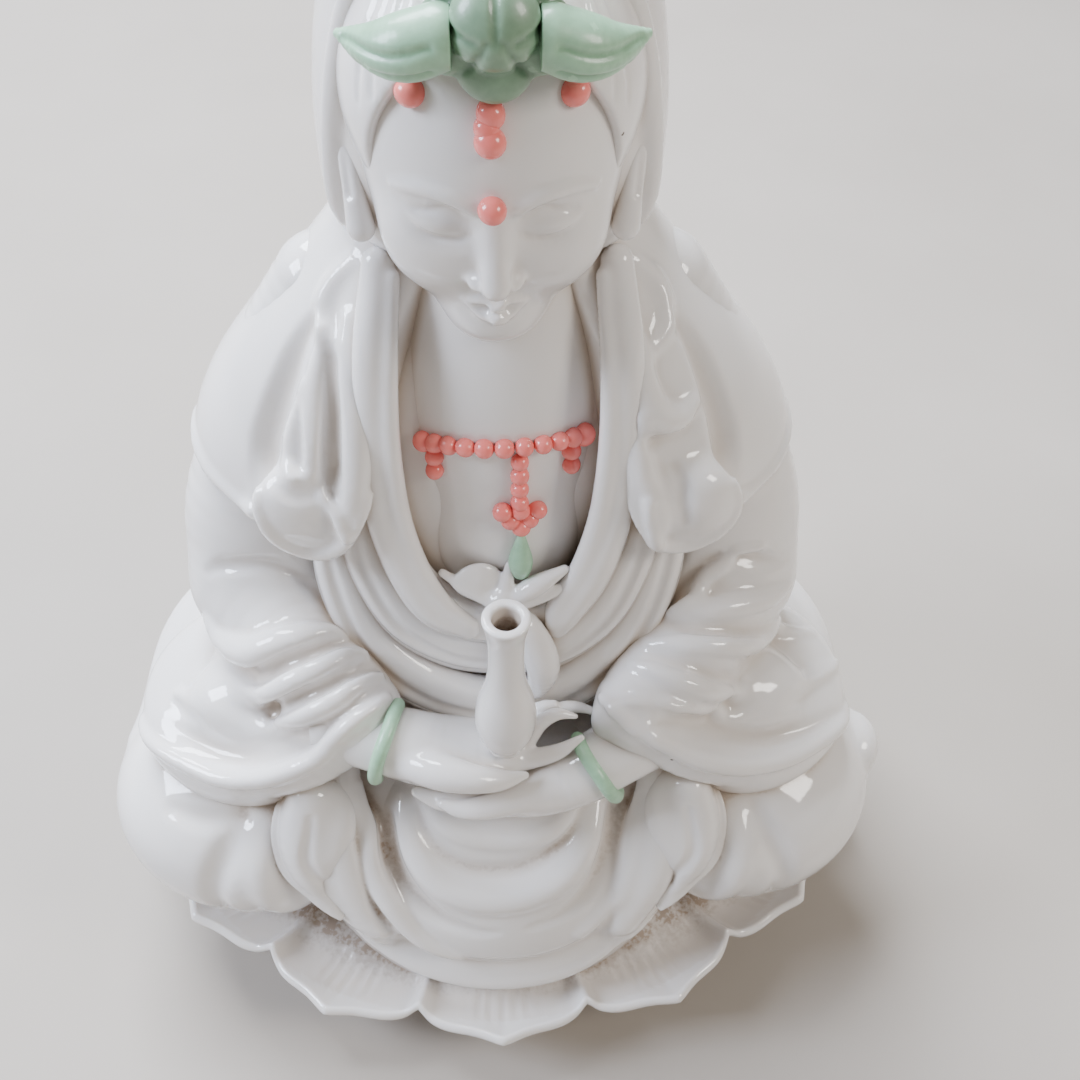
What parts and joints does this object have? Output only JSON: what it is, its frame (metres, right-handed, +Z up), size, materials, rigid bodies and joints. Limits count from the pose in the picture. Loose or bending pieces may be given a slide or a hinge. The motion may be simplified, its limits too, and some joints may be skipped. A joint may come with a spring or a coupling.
{
  "type": "seated porcelain figurine",
  "caption": "Hooded, robed figurine seated cross-legged on a lotus seat, holding a small bottle vase, with a flower crown, bangles and a bead necklace, in glazed porcelain.",
  "frame": {"origin": "middle of the foot ring, on the table", "axes": "+Z up through the head, the figure faces -Y, +X towards the figure's own left"},
  "size_m": [0.156, 0.1443, 0.207],
  "materials": {
    "white_porcelain": "glossy clear glaze over white porcelain, warm where it pools",
    "celadon_glaze": "satin pale green slip",
    "coral_enamel": "semi-gloss coral slip"
  },
  "bodies": {
    "root": {"lotus_seat": "white_porcelain", "crossed_legs": "white_porcelain", "apron": "white_porcelain", "apron_fold_right": "white_porcelain", "apron_fold_left": "white_porcelain", "torso": "white_porcelain", "bust": "white_porcelain", "head": "white_porcelain", "vase": "white_porcelain", "lapel_right": "white_porcelain", "lapel_left": "white_porcelain", "hand_right": "white_porcelain", "hand_left": "white_porcelain", "sleeve_right": "white_porcelain", "sleeve_left": "white_porcelain", "ear_right": "white_porcelain", "ear_left": "white_porcelain", "sash_knot": "white_porcelain", "robe_fold_1": "white_porcelain", "robe_fold_2": "white_porcelain", "robe_fold_3": "white_porcelain", "hair": "white_porcelain", "hood": "white_porcelain", "mantle": "white_porcelain", "bangle_right": "celadon_glaze", "bangle_left": "celadon_glaze", "crown_flower": "celadon_glaze", "crown_leaf_right": "celadon_glaze", "crown_leaf_left": "celadon_glaze", "pendant_drop": "celadon_glaze", "crown_beads": "coral_enamel", "brow_bead": "coral_enamel", "necklace_beads": "coral_enamel"}
  },
  "joints": []
}
